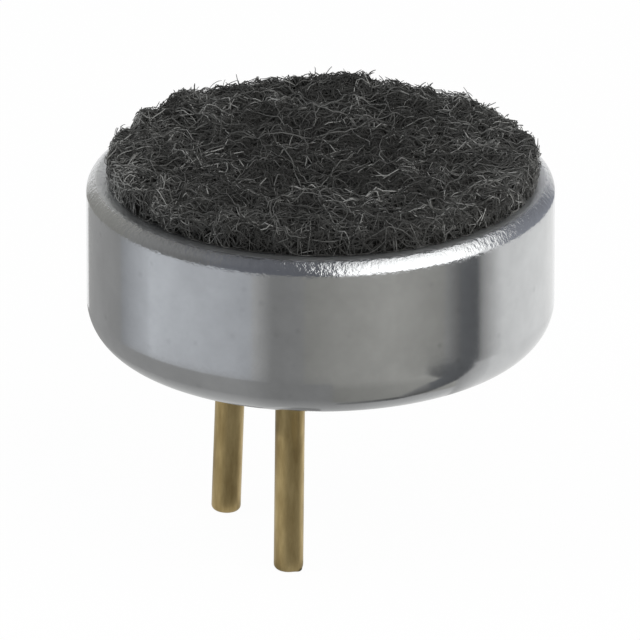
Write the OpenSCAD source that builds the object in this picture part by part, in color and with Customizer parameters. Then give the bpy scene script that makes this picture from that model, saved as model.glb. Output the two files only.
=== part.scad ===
// Electret microphone capsule with terminal pins.
// Millimetres, +Z towards the felt front, origin on the can's axis in the plane of its rear land.

/* [Can] */
// Outside diameter of the drawn can
can_d = 6; // [5.8:0.1:7]
// Height of the can, from the rear land to the front face
can_h = 2.2; // [2.1:0.05:3]
// Thickness of the drawn sheet
sheet_t = 0.22; // [0.16:0.01:0.24]
// Outside radius of the front corner
front_corner_r = 0.18; // [0.12:0.01:0.3]
// Inside radius of the front corner
front_inner_r = 0.04; // [0.02:0.005:0.045]

/* [Crimp] */
// Outside radius of the rear edge that is rolled over the board
crimp_r = 0.56; // [0.5:0.01:0.65]
// Width of the flat land that the crimping die leaves
crimp_land = 0.1; // [0.06:0.01:0.16]
// Angle that the lip turns past the land, back towards the board
crimp_turn = 40; // [35:1:50]

/* [Sound holes] */
// Diameter of each sound hole in the can's front
sound_hole_d = 0.5; // [0.3:0.05:0.7]
// Number of holes around the middle one
sound_hole_count = 6; // [3:1:8]
// Diameter of the circle that the outer holes lie on
sound_circle_d = 2.4; // [2:0.1:3.4]

/* [Dust felt] */
// Gap between the felt's edge and the start of the front corner
felt_inset = 0.06; // [0:0.01:0.2]
// Thickness of the felt disc
felt_t = 0.3; // [0.2:0.02:0.5]
// Radius of the felt's worn upper edge
felt_edge_r = 0.08; // [0.02:0.01:0.15]
// Distance that the felt was stuck off the can's axis
felt_shift = 0.03; // [0:0.01:0.05]
// Direction of that shift, in degrees from +X towards +Y
felt_shift_heading = 69; // [-180:1:180]

/* [Diaphragm] */
// Clearance of the inner pieces in the can, and of the backplate in its ring
fit_gap = 0.05; // [0.045:0.005:0.08]
// Width of the diaphragm ring and of the spacer, from their edge inwards
diaphragm_ring_w = 0.58; // [0.54:0.01:0.75]
// Thickness of the diaphragm ring
diaphragm_ring_t = 0.15; // [0.1:0.01:0.2]
// Thickness of the metallised diaphragm film
diaphragm_t = 0.006; // [0.004:0.001:0.012]
// Thickness of the spacer between the diaphragm and the electret
spacer_t = 0.04; // [0.025:0.005:0.06]

/* [Backplate] */
// Wall of the insulating ring around the backplate and the gate ring
insulator_wall = 0.38; // [0.25:0.01:0.42]
// Play of the insulating ring behind the spacer, which leaves the clamping to the gate ring
insulator_play = 0.01; // [0.005:0.005:0.03]
// Thickness of the backplate
backplate_t = 0.2; // [0.15:0.01:0.25]
// Thickness of the charged film on the backplate's front
electret_t = 0.025; // [0.0125:0.0025:0.04]
// Diameter of each air hole in the backplate
air_hole_d = 0.35; // [0.2:0.05:0.5]
// Number of air holes
air_hole_count = 6; // [3:1:8]
// Diameter of the circle that the air holes lie on
air_circle_d = 2.8; // [2.2:0.1:3.2]
// Wall of the gate ring
gate_ring_wall = 0.25; // [0.15:0.01:0.3]

/* [Board] */
// Thickness of the board's laminate
board_t = 0.4; // [0.3:0.02:0.45]
// Thickness of the copper on both faces
copper_t = 0.035; // [0.018:0.001:0.05]
// Gap between the board's edge and the rolled rim
board_gap = 0.01; // [0.005:0.005:0.05]
// How far the ground ring reaches inwards past the lip that presses on it
ground_ring_margin = 0.1; // [0.04:0.01:0.15]
// Gap between copper of different circuits, and from copper to the board's edge
copper_gap = 0.1; // [0.08:0.01:0.12]
// Diameter of the copper pad around each terminal pin
pin_pad_d = 0.9; // [0.75:0.05:1]
// Width of the copper tracks
track_w = 0.3; // [0.2:0.02:0.4]

/* [Terminal pins] */
// Diameter of the pins
pin_d = 0.38; // [0.32:0.01:0.42]
// Growth of the pin's radius from the rear land to its head
pin_flare = 0.02; // [0.01:0.005:0.03]
// Distance between the two pins
pin_pitch = 2.1; // [1.9:0.05:2.2]
// Distance of the line through both pins from the can's axis
pin_offset = 0.81; // [0.7:0.01:0.9]
// Reach of the pins beyond the rear land
pin_reach = 2.7; // [1.5:0.05:5]
// Radius of the rounded pin tips
pin_tip_r = 0.07; // [0.02:0.01:0.12]
// Lean of the output pin out of square
output_pin_lean = 2; // [0:0.1:2.5]
// Lean of the ground pin out of square
ground_pin_lean = 0.6; // [0:0.1:2.5]
// Direction in which the pins lean, counted from +X
pin_lean_heading = -111; // [-180:1:180]
// Diameter of the pin's head on the inner face
pin_head_d = 0.62; // [0.52:0.02:0.7]
// Thickness of the pin's head
pin_head_t = 0.12; // [0.08:0.01:0.2]
// Clearance around the pin in its hole, which the solder fills
pin_hole_gap = 0.05; // [0.05:0.005:0.07]
// Width of the solder fillet on the pad, and its height along the pin
solder_w = 0.2; // [0.12:0.01:0.24]

/* [Components] */
// Length of the transistor's body, across its leads
jfet_l = 1.2; // [1:0.05:1.3]
// Width of the transistor's body, along its leads
jfet_w = 0.8; // [0.6:0.05:0.85]
// Height of the transistor's body
jfet_h = 0.45; // [0.35:0.01:0.5]
// Distance of the transistor's middle from the can's axis
jfet_y = 0.65; // [0.6:0.01:0.7]
// Distance of the two outer leads from the body's middle line
jfet_lead_x = 0.4; // [0.36:0.01:0.42]
// Width of each lead
jfet_lead_w = 0.2; // [0.14:0.02:0.24]
// Length of each lead beyond the body
jfet_lead_l = 0.2; // [0.15:0.01:0.22]
// Length of each lead inside the body
jfet_lead_root = 0.12; // [0.08:0.01:0.16]
// Thickness of the lead sheet
jfet_lead_t = 0.1; // [0.08:0.01:0.12]
// Length of each chip capacitor
chip_l = 1; // [0.9:0.02:1.05]
// Width and height of each chip capacitor
chip_w = 0.5; // [0.4:0.02:0.5]
// Length of each metal end of a capacitor
chip_end_l = 0.22; // [0.15:0.01:0.24]
// Step from the metal ends down to the ceramic
chip_step = 0.02; // [0.01:0.005:0.04]
// Distance of the nearer capacitor's middle from the can's axis
chip_y = 0.5; // [0.48:0.01:0.55]
// Distance between the middles of the two capacitors
chip_pitch = 0.7; // [0.6:0.01:0.72]

/* [Hidden] */
$fn = 96;

// Overshoot of a cut past the face that it goes through
over = 0.05;

can_r = can_d / 2;
inside_r = can_r - sheet_t;
stack_r = inside_r - fit_gap;
diaphragm_r = stack_r - diaphragm_ring_w;
insulator_r = stack_r - insulator_wall;
backplate_r = insulator_r - fit_gap;
felt_r = can_r - front_corner_r - felt_inset;

// The crimp: a quarter turn, a flat land, and a lip that turns on about a second centre
crimp_inner_r = crimp_r - sheet_t;
land_outer_r = can_r - crimp_r;
land_inner_r = land_outer_r - crimp_land;
lip_contact_r = land_inner_r - crimp_inner_r * sin(crimp_turn);

// Levels of the stack, from the lip's contact on the board forwards
board_rear_z = crimp_r - crimp_inner_r * cos(crimp_turn);
laminate_rear_z = board_rear_z + copper_t;
laminate_front_z = laminate_rear_z + board_t;
copper_front_z = laminate_front_z + copper_t;

// Levels of the stack, from the can's front backwards
front_inside_z = can_h - sheet_t;
diaphragm_ring_z = front_inside_z - diaphragm_ring_t;
diaphragm_z = diaphragm_ring_z - diaphragm_t;
spacer_z = diaphragm_z - spacer_t;
electret_z = spacer_z - electret_t;
backplate_z = electret_z - backplate_t;

// The board's rear corner meets the inside of the rolled edge at this height.
board_r = land_outer_r + sqrt(pow(crimp_inner_r, 2) - pow(crimp_r - laminate_rear_z, 2)) - board_gap;
gate_inner_r = backplate_r - gate_ring_wall;
pin_hole_r = pin_d / 2 + pin_flare + pin_hole_gap;
pin_xs = [-pin_pitch / 2, pin_pitch / 2];
pin_y = -pin_offset;
chip_ys = [-chip_y, -chip_y - chip_pitch];
chip_pad_x = chip_l / 2 - chip_end_l;

// Shapes that several pieces share

// A flat washer with its rear face at height z
module washer(outer_r, inner_r, z, t) {
    translate([0, 0, z])
        difference() {
            cylinder(r = outer_r, h = t);
            translate([0, 0, -over]) cylinder(r = inner_r, h = t + 2 * over);
        }
}

// A ring of upright cutters
module hole_circle(hole_d, circle_d, count, z, h) {
    for (i = [0:count - 1])
        rotate(i * 360 / count)
            translate([circle_d / 2, 0, z]) cylinder(d = hole_d, h = h);
}

// The part of a rectangle's corner that rounding takes away; sx and sy point out of the corner
module corner_waste(r, sx, sy) {
    mirror([sx < 0 ? 1 : 0, 0])
        mirror([0, sy < 0 ? 1 : 0])
            difference() {
                translate([-r, -r]) square(r + over);
                translate([-r, -r]) circle(r);
            }
}

// One pin's shank on its leaning axis: round tip, straight run to the rear land, flared root up to top
module pin_shank(x, lean, top) {
    root_r = pin_d / 2 + pin_flare * top / copper_front_z;
    translate([x, pin_y, 0])
        rotate([0, 0, pin_lean_heading])
            rotate([0, -lean, 0])
                rotate_extrude() {
                    translate([0, -pin_reach])
                        difference() {
                            square([pin_d / 2, pin_reach]);
                            translate([pin_d / 2, 0]) corner_waste(pin_tip_r, 1, -1);
                        }
                    polygon([[0, 0], [pin_d / 2, 0], [root_r, top], [0, top]]);
                }
}

// Outer pieces

module dust_felt() {
    color("#2b2b2b")
        translate([felt_shift * cos(felt_shift_heading), felt_shift * sin(felt_shift_heading), can_h])
            rotate_extrude()
                difference() {
                    square([felt_r, felt_t]);
                    translate([felt_r, felt_t]) corner_waste(felt_edge_r, 1, 1);
                }
}

// Half section of the can before its rear is opened
module can_section() {
    difference() {
        square([can_r, can_h]);
        translate([can_r, can_h]) corner_waste(front_corner_r, 1, 1);
        translate([can_r, 0]) corner_waste(crimp_r, 1, -1);
        difference() {
            translate([-over, sheet_t]) square([inside_r + over, can_h - 2 * sheet_t]);
            translate([inside_r, front_inside_z]) corner_waste(front_inner_r, 1, 1);
            translate([inside_r, sheet_t]) corner_waste(crimp_inner_r, 1, -1);
        }
        translate([-over, -over]) square([land_inner_r + over, sheet_t + 2 * over]);
    }
}

// Half section of the lip, which turns from the land back up to the board
module lip_section() {
    reach = 2 * crimp_r;
    translate([land_inner_r, crimp_r])
        intersection() {
            difference() {
                circle(crimp_r);
                circle(crimp_inner_r);
            }
            polygon([[0, 0], [0, -reach], reach * [-sin(crimp_turn), -cos(crimp_turn)]]);
        }
}

module can() {
    color("#b4b6b8")
        difference() {
            rotate_extrude() {
                can_section();
                lip_section();
            }
            translate([0, 0, front_inside_z - over])
                cylinder(d = sound_hole_d, h = sheet_t + 2 * over);
            hole_circle(sound_hole_d, sound_circle_d, sound_hole_count,
                front_inside_z - over, sheet_t + 2 * over);
        }
}

// Acoustic stack

module diaphragm_ring() {
    color("#c9a95a") washer(stack_r, diaphragm_r, diaphragm_ring_z, diaphragm_ring_t);
}

module diaphragm() {
    color("#d8d9d6") translate([0, 0, diaphragm_z]) cylinder(r = stack_r, h = diaphragm_t);
}

module spacer() {
    color("#e6e2d2") washer(stack_r, diaphragm_r, spacer_z, spacer_t);
}

// A disc of the backplate's diameter with the air holes through it
module perforated_disc(z, t) {
    difference() {
        translate([0, 0, z]) cylinder(r = backplate_r, h = t);
        hole_circle(air_hole_d, air_circle_d, air_hole_count, z - over, t + 2 * over);
    }
}

module electret_film() {
    color("#dfe6ea") perforated_disc(electret_z, electret_t);
}

module backplate() {
    color("#c2a050") perforated_disc(backplate_z, backplate_t);
}

module insulating_ring() {
    color("#e9e7e0")
        washer(stack_r, insulator_r, laminate_front_z, spacer_z - insulator_play - laminate_front_z);
}

module gate_ring() {
    color("#c08a4a") washer(backplate_r, gate_inner_r, copper_front_z, backplate_z - copper_front_z);
}

// Board and its copper

module pin_holes(z, h) {
    for (x = pin_xs)
        translate([x, pin_y, z]) cylinder(r = pin_hole_r, h = h);
}

module circuit_board() {
    color("#2f6b3f")
        difference() {
            translate([0, 0, laminate_rear_z]) cylinder(r = board_r, h = board_t);
            pin_holes(laminate_rear_z - over, board_t + 2 * over);
        }
}

// Ring under the gate ring, with a track to the transistor's gate lead
module gate_track() {
    gate_lead_y = jfet_y + jfet_w / 2;
    color("#c77b45")
        translate([0, 0, laminate_front_z])
            linear_extrude(copper_t) {
                difference() {
                    circle(r = backplate_r);
                    circle(r = gate_inner_r);
                }
                translate([-track_w / 2, gate_lead_y])
                    square([track_w, gate_inner_r + gate_ring_wall / 2 - gate_lead_y]);
            }
}

// Copper between the +X pin, its transistor lead and one end of each capacitor
module terminal_track() {
    lead_y = jfet_y - jfet_w / 2;
    rear_y = chip_ys[1] - chip_w / 2;
    color("#c77b45")
        translate([0, 0, laminate_front_z])
            linear_extrude(copper_t)
                difference() {
                    union() {
                        translate([chip_pad_x, rear_y])
                            square([pin_pitch / 2 - chip_pad_x, lead_y - rear_y]);
                        translate([pin_pitch / 2, pin_y]) circle(d = pin_pad_d);
                    }
                    translate([pin_pitch / 2, pin_y]) circle(r = pin_hole_r);
                }
}

module output_track() {
    mirror([1, 0, 0]) terminal_track();
}

module ground_track() {
    terminal_track();
}

// Ring that the can's lip presses on, with a track to the ground pin's pad
module ground_ring() {
    ring_outer_r = board_r - copper_gap;
    ring_inner_r = lip_contact_r - ground_ring_margin;
    ring_middle_r = (ring_outer_r + ring_inner_r) / 2;
    pad_axis_r = norm([pin_pitch / 2, pin_offset]);
    color("#d9d5c4")
        translate([0, 0, board_rear_z])
            linear_extrude(copper_t)
                difference() {
                    union() {
                        difference() {
                            circle(r = ring_outer_r);
                            circle(r = ring_inner_r);
                        }
                        rotate(atan2(pin_y, pin_pitch / 2))
                            translate([pad_axis_r, -track_w / 2])
                                square([ring_middle_r - pad_axis_r, track_w]);
                        translate([pin_pitch / 2, pin_y]) circle(d = pin_pad_d);
                    }
                    translate([pin_pitch / 2, pin_y]) circle(r = pin_hole_r);
                }
}

module output_pad() {
    color("#d9d5c4")
        translate([0, 0, board_rear_z])
            linear_extrude(copper_t)
                translate([pin_xs[0], pin_y])
                    difference() {
                        circle(d = pin_pad_d);
                        circle(r = pin_hole_r);
                    }
}

// Components on the inner face

// Transistor body: two crossed trapezoids give its four drafted sides, and the leads are moulded in
module jfet_body() {
    draft = jfet_h * tan(7);
    color("#1f1f21")
        difference() {
            translate([0, jfet_y, copper_front_z])
                intersection() {
                    drafted_bar(jfet_l, jfet_w, jfet_h, draft);
                    rotate(90) drafted_bar(jfet_w, jfet_l, jfet_h, draft);
                }
            jfet_leads();
        }
}

// A bar of trapezoid section, l wide at its foot and w long
module drafted_bar(l, w, h, draft) {
    rotate([90, 0, 0])
        linear_extrude(w, center = true)
            polygon([[-l / 2, 0], [l / 2, 0], [l / 2 - draft, h], [draft - l / 2, h]]);
}

// One lead, running out from inside the body along -Y
module jfet_lead(x) {
    translate([x - jfet_lead_w / 2, jfet_y - jfet_w / 2 - jfet_lead_l, copper_front_z])
        cube([jfet_lead_w, jfet_lead_l + jfet_lead_root, jfet_lead_t]);
}

module jfet_leads() {
    color("#c8c9c6") {
        jfet_lead(-jfet_lead_x);
        jfet_lead(jfet_lead_x);
        translate([0, 2 * jfet_y, 0]) mirror([0, 1, 0]) jfet_lead(0);
    }
}

// Ceramic between the metal ends of one chip capacitor
module chip_ceramic(y) {
    ceramic_w = chip_w - 2 * chip_step;
    color("#b08d63")
        translate([-chip_pad_x, y - ceramic_w / 2, copper_front_z + chip_step])
            cube([2 * chip_pad_x, ceramic_w, ceramic_w]);
}

module capacitor_1() {
    chip_ceramic(chip_ys[0]);
}

module capacitor_2() {
    chip_ceramic(chip_ys[1]);
}

module capacitor_ends() {
    color("#cfd0ce")
        for (y = chip_ys, side = [0, 1])
            mirror([side, 0, 0])
                translate([chip_pad_x, y - chip_w / 2, copper_front_z])
                    cube([chip_end_l, chip_w, chip_w]);
}

// Terminal pins and their solder

// A pin: a leaning shank with a flat head that lies on the inner copper
module terminal_pin(x, lean) {
    head_shift = copper_front_z * tan(lean);
    head_x = x - head_shift * cos(pin_lean_heading);
    head_y = pin_y - head_shift * sin(pin_lean_heading);
    color("#b39a5c") {
        pin_shank(x, lean, copper_front_z + pin_head_t / 2);
        translate([head_x, head_y, copper_front_z]) cylinder(d = pin_head_d, h = pin_head_t);
    }
}

module output_pin() {
    terminal_pin(pin_xs[0], output_pin_lean);
}

module ground_pin() {
    terminal_pin(pin_xs[1], ground_pin_lean);
}

// Solder that fills a pin's hole and rises along the pin in a hollow fillet.
// The hollow's centre lies beyond the fillet's corner, so the solder meets pad and pin at an angle.
module terminal_solder(x, lean) {
    arc_shift = solder_w / 3;
    arc_r = norm([solder_w + arc_shift, arc_shift]);
    color("#c3c5c4")
        difference() {
            translate([x, pin_y, board_rear_z])
                rotate_extrude() {
                    square([pin_hole_r, copper_front_z - board_rear_z]);
                    difference() {
                        translate([0, -solder_w]) square([pin_hole_r + solder_w, solder_w]);
                        translate([pin_hole_r + solder_w + arc_shift, -solder_w - arc_shift]) circle(arc_r);
                    }
                }
            pin_shank(x, lean, copper_front_z + over);
        }
}

module output_solder() {
    terminal_solder(pin_xs[0], output_pin_lean);
}

module ground_solder() {
    terminal_solder(pin_xs[1], ground_pin_lean);
}

dust_felt();
can();
diaphragm_ring();
diaphragm();
spacer();
electret_film();
backplate();
insulating_ring();
gate_ring();
gate_track();
output_track();
ground_track();
circuit_board();
ground_ring();
output_pad();
jfet_body();
jfet_leads();
capacitor_1();
capacitor_2();
capacitor_ends();
output_pin();
ground_pin();
output_solder();
ground_solder();
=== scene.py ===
"""Looks of an electret microphone capsule: satin can, matted felt, brass pins and the soldered rear."""

import math

import bpy
import numpy as np
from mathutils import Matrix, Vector


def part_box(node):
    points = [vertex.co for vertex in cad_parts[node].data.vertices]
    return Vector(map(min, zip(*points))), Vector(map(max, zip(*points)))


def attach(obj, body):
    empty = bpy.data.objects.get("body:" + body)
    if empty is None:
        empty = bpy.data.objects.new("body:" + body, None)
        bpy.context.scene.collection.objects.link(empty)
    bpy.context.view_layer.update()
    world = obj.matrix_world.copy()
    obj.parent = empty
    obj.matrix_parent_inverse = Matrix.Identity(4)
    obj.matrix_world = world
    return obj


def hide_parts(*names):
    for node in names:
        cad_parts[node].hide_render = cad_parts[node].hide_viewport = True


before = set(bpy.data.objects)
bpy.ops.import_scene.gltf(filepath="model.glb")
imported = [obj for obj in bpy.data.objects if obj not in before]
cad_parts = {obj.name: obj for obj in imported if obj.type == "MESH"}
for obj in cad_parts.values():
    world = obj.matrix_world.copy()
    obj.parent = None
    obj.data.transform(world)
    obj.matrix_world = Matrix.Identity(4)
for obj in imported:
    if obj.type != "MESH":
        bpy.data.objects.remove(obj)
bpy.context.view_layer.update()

bl_info = {
    "name": "Microphone Capsule",
    "version": (1, 0, 0),
    "blender": (4, 5, 0),
    "location": "View3D > Sidebar > Capsule",
    "description": "Dresses the capsule's solids with felt, satin metal and a plain stage",
    "category": "Object",
}

MM = 0.001
TURN = 2 * math.pi
UP = np.array([0, 0, 1.0])
NEAR_ZERO = 1e-9
WHITE = (1, 1, 1, 1)
CAN_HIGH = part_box("can")[1]
FELT_LOW, FELT_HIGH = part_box("dust_felt")
PIN_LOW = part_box("ground_pin")[0]


# Settings

def a_length(name, description, default):
    """A length in metres that a user may change."""
    return bpy.props.FloatProperty(
        name=name, description=description, default=default, unit="LENGTH", precision=6)


def an_angle(name, description, degrees):
    """An angle that a user may change, given in degrees."""
    return bpy.props.FloatProperty(
        name=name, description=description, default=math.radians(degrees), subtype="ANGLE")


def a_colour(name, description, default):
    """A colour that a user may change."""
    return bpy.props.FloatVectorProperty(
        name=name, description=description, default=default, subtype="COLOR", min=0, max=1)


def a_count(name, description, default, low, high):
    """A whole number that a user may change within limits."""
    return bpy.props.IntProperty(name=name, description=description, default=default, min=low, max=high)


class CanSettings(bpy.types.PropertyGroup):
    """Sizes and finish of the drawn can"""

    radius: a_length("Radius", "Outside radius of the can's wall", CAN_HIGH.x)
    height: a_length("Height", "From the rear land to the front face", CAN_HIGH.z)
    sheet: a_length("Sheet", "Thickness of the drawn sheet", 0.22 * MM)
    front_corner: a_length("Front corner", "Outside radius of the front corner", 0.18 * MM)
    front_inner: a_length("Inner corner", "Inside radius of the front corner", 0.04 * MM)
    crimp: a_length("Crimp", "Outside radius of the rolled rear edge", 0.56 * MM)
    land: a_length("Land", "Width of the flat ring under the rolled edge", 0.1 * MM)
    lip_turn: an_angle("Lip turn", "Angle that the lip turns past the land", 40)
    hole_radius: a_length("Sound hole", "Radius of each sound hole", 0.25 * MM)
    hole_circle: a_length("Hole circle", "Radius of the circle of the outer sound holes", 1.2 * MM)
    hole_count: a_count("Holes", "Sound holes around the middle one", 6, 3, 8)
    colour: a_colour("Metal", "Colour of the satin metal", (0.62, 0.63, 0.64))


class FeltSettings(bpy.types.PropertyGroup):
    """Sizes and finish of the dust felt"""

    radius: a_length("Radius", "Radius of the felt disc", (FELT_HIGH.x - FELT_LOW.x) / 2)
    middle: bpy.props.FloatVectorProperty(
        name="Middle", description="Where the felt's middle lies, a little off the can's axis", size=3,
        default=((FELT_LOW.x + FELT_HIGH.x) / 2, (FELT_LOW.y + FELT_HIGH.y) / 2, 0),
        subtype="TRANSLATION", precision=6)
    foot: a_length("Foot", "Height at which the felt lies on the can", FELT_LOW.z)
    thickness: a_length("Thickness", "Thickness of the matted disc", FELT_HIGH.z - FELT_LOW.z)
    edge: a_length("Edge", "Radius of the worn upper edge", 0.1 * MM)
    relief: a_length("Relief", "Mean height of the tufts that the mat is gathered in", 0.034 * MM)
    matted: a_count("Matted fibres", "Fibres that lie in each layer of the mat", 3100, 100, 3200)
    layers: a_count("Layers", "Layers of matted fibres", 3, 1, 4)
    strands: a_count("Strands", "Long fibres that lie loose on the mat", 80, 1, 400)
    nap: a_count("Raised fibres", "Fibres that stand up out of the mat", 3000, 100, 4400)
    fibre: a_length("Fibre", "Mean radius of a fibre", 0.0068 * MM)
    # Both edges along this line are paler: a painted sheen of light that grazes the edge fibres.
    sheen_side: an_angle("Sheen side", "Direction of the line along which both edges are palest", 69)
    dark: a_colour("Dark fibre", "Colour of the darkest fibres", (0.0195, 0.0193, 0.0176))
    light: a_colour("Light fibre", "Colour of the palest fibres", (0.275, 0.275, 0.264))


class PinSettings(bpy.types.PropertyGroup):
    """Sizes and finish of the terminal pins"""

    radius: a_length("Radius", "Radius of the pins", 0.19 * MM)
    pitch: a_length("Pitch", "Distance between the pins", 2.1 * MM)
    offset: a_length("Offset", "Distance of the pins' line from the can's axis", 0.81 * MM)
    reach: a_length("Reach", "Reach of the pins beyond the rear land", 2.7 * MM)
    tip: a_length("Tip", "Radius of the rounded tips", 0.07 * MM)
    flare: a_length("Flare", "Growth of the radius from the land to the head", 0.02 * MM)
    head: a_length("Head", "Radius of the head on the inner face", 0.31 * MM)
    head_thickness: a_length("Head thickness", "Thickness of the head", 0.12 * MM)
    leans: bpy.props.FloatVectorProperty(
        name="Leans", description="Lean of the output and of the ground pin",
        size=2, default=(math.radians(2.0), math.radians(0.6)), unit="ROTATION")
    heading: an_angle("Heading", "Direction in which the pins lean", -111)
    # The square corner is in the pin's shape; its dark is a near-black spot of colour laid at the corner's
    # tip.
    burr: an_angle("Burr", "Side of the ground pin's tip where shearing left a square, dark corner", 36)
    colour: a_colour("Brass", "Colour of the clean brass", (0.58, 0.45, 0.22))
    tarnish: a_colour("Tarnish", "Colour of the tarnished brass", (0.34, 0.25, 0.11))


class StageSettings(bpy.types.PropertyGroup):
    """Camera and floor"""

    azimuth: an_angle("Azimuth", "Side that the camera looks from", 69.2)
    elevation: an_angle("Elevation", "Height of the camera above the horizon", 22.1)
    width: a_length("Width", "Width of the picture at the capsule", 8.205 * MM)
    drop: a_length("Drop", "How far the picture's middle lies below the can's middle", 0.814 * MM)
    aside: a_length("Aside", "How far the picture's middle lies left of the can's axis", 0.0073 * MM)
    lens: bpy.props.FloatProperty(
        name="Lens", description="Focal length in millimetres", default=1000.0, subtype="DISTANCE_CAMERA")
    floor: a_colour("Floor", "Colour of the floor", (0.9, 0.9, 0.9))


# Meshes from whole arrays

def grid_faces(rows, columns, wrap=False):
    """Four-cornered faces of a grid: each joins a point to its neighbours in the next row and column.

    With wrap, the last column is joined to the first.
    """
    row, column = np.meshgrid(
        np.arange(rows - 1), np.arange(columns if wrap else columns - 1), indexing="ij")
    here, below, after = row * columns, (row + 1) * columns, (column + 1) % columns
    return np.stack([here + column, here + after, below + after, below + column], -1).reshape(-1, 4)


def pole_fans(rows, columns):
    """Three-cornered faces that close a grid of rings at both ends.

    Each joins two neighbours of an end's ring to that end's pole. Both poles follow the grid's points.
    """
    poles, column = rows * columns, np.arange(columns)
    after, base = (column + 1) % columns, (rows - 1) * columns
    return np.concatenate([
        np.stack([np.full(columns, poles), after, column], -1),
        np.stack([np.full(columns, poles + 1), base + column, base + after], -1)])


def signed_volume(points, faces):
    """Volume inside a closed surface: a sixth of the sum of corner products over fans of its faces."""
    volume = 0.0
    for corner in range(1, faces.shape[1] - 1):
        a, b, c = points[faces[:, 0]], points[faces[:, corner]], points[faces[:, corner + 1]]
        volume += np.einsum("ij,ij->", a, np.cross(b, c)) / 6
    return volume


def linked(name, data):
    """A new object in the scene that holds that data."""
    made = bpy.data.objects.new(name, data)
    bpy.context.scene.collection.objects.link(made)
    return made


def new_piece(name, points, face_groups, smooth=True, sharp=None):
    """A piece with these points and faces, turned outwards; each group's faces have equally many corners."""
    points = np.asarray(points, dtype=np.float64).reshape(-1, 3)
    groups = [np.asarray(g, dtype=np.int64) for g in face_groups]
    if sum(signed_volume(points, g) for g in groups) < 0:
        groups = [g[:, ::-1] for g in groups]
    loops = np.concatenate([g.ravel() for g in groups]).astype(np.int32)
    sizes = np.concatenate([np.full(len(g), g.shape[1]) for g in groups])
    mesh = bpy.data.meshes.new(name)
    mesh.vertices.add(len(points))
    mesh.vertices.foreach_set("co", points.astype(np.float32).ravel())
    mesh.loops.add(len(loops))
    mesh.loops.foreach_set("vertex_index", loops)
    mesh.polygons.add(len(sizes))
    mesh.polygons.foreach_set("loop_start", np.concatenate([[0], np.cumsum(sizes)[:-1]]).astype(np.int32))
    mesh.update(calc_edges=True)
    mesh.validate()
    mesh.polygons.foreach_set("use_smooth", np.full(len(mesh.polygons), smooth))
    if sharp is not None:
        mesh.set_sharp_from_angle(angle=math.radians(sharp))
    return linked(name, mesh)


def spot(far, around):
    """Points in a plane at a distance from its middle and at an angle."""
    return np.stack([far * np.cos(around), far * np.sin(around)], -1)


def arc(centre, radius, start, end, count):
    """Points of an arc in the half plane of radius and height, angles in degrees from the radius axis."""
    return np.asarray(centre) + spot(radius, np.radians(np.linspace(start, end, count)))


def revolved(profile, turns):
    """Points and faces of a half section carried round the Z axis.

    Point i of the section at turn j lies at (r cos a, r sin a, z) with a = 2 pi j / turns. The section
    starts and ends on the axis, where one point closes each end.
    """
    body, angle = profile[1:-1], np.arange(turns) * TURN / turns
    ring = np.stack([np.cos(angle), np.sin(angle), np.zeros(turns)], -1)
    points = body[:, None, :1] * ring + body[:, None, 1:] * UP
    poles = profile[[0, -1], 1:] * UP
    faces = [grid_faces(len(body), turns, wrap=True), pole_fans(len(body), turns)]
    return np.concatenate([points.reshape(-1, 3), poles]), faces


def unit(vectors):
    """Vectors divided by their lengths, where they have one."""
    smallest = 1e-12
    return vectors / (np.linalg.norm(vectors, axis=-1, keepdims=True) + smallest)


def tubes(paths, radii, sides=3):
    """Points and faces of many round fibres.

    Each path is a row of points; a ring of sides points stands square on it, its radius swelling from a thin
    root to the middle and back as half a sine wave does, and each end is closed by one face.
    """
    thin, aslant = 0.55, np.array([0.31, 0.17, 0.93])
    count, steps, _ = paths.shape
    along = unit(np.gradient(paths, axis=1))
    across = unit(np.cross(along, aslant))
    up = np.cross(along, across)
    turn = np.arange(sides) * TURN / sides
    swell = thin + (1 - thin) * np.sin(np.pi * np.linspace(0.06, 0.94, steps))
    size = (radii[:, None] * swell)[:, :, None, None]
    ring = across[:, :, None, :] * np.cos(turn)[:, None] + up[:, :, None, :] * np.sin(turn)[:, None]
    points = (paths[:, :, None, :] + size * ring).reshape(-1, 3)
    start = np.arange(count)[:, None] * steps * sides
    quads = (start[:, :, None] + grid_faces(steps, sides, wrap=True)[None]).reshape(-1, 4)
    roots = start + np.arange(sides)[::-1]
    tips = start + (steps - 1) * sides + np.arange(sides)
    return points, [quads, np.concatenate([roots, tips])]


# Materials

def feed(tree, value, socket):
    """Links an output to a socket, or sets the socket to a value."""
    if isinstance(value, bpy.types.NodeSocket):
        tree.links.new(value, socket)
    else:
        socket.default_value = value


def feed_all(tree, made, sockets):
    """Feeds a node's inputs by name, with underscores for spaces."""
    for name, value in sockets.items():
        feed(tree, value, made.inputs[name.replace("_", " ")])
    return made


def node(tree, kind, **sockets):
    """A new node of that kind with its inputs fed by name."""
    return feed_all(tree, tree.nodes.new(kind), sockets)


def new_material(name):
    """A new node material and its tree."""
    made = bpy.data.materials.new(name)
    made.use_nodes = True
    return made, made.node_tree


def finished(made, **sockets):
    """The material with the inputs of its Principled shader fed by name."""
    shader = next(n for n in made.node_tree.nodes if n.type == "BSDF_PRINCIPLED")
    feed_all(made.node_tree, shader, sockets)
    return made


def combined(tree, operation, first, second, kind="ShaderNodeMath"):
    """The number that a Math node, or one of that kind, makes of two outputs or values."""
    made = node(tree, kind)
    made.operation = operation
    feed(tree, first, made.inputs[0])
    feed(tree, second, made.inputs[1])
    return made.outputs["Value"]


def object_place(tree, scale=(1, 1, 1)):
    """Object coordinates through a Mapping node that stretches the pattern by scale."""
    place = node(tree, "ShaderNodeTexCoord").outputs["Object"]
    return node(tree, "ShaderNodeMapping", Vector=place, Scale=scale).outputs["Vector"]


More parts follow.
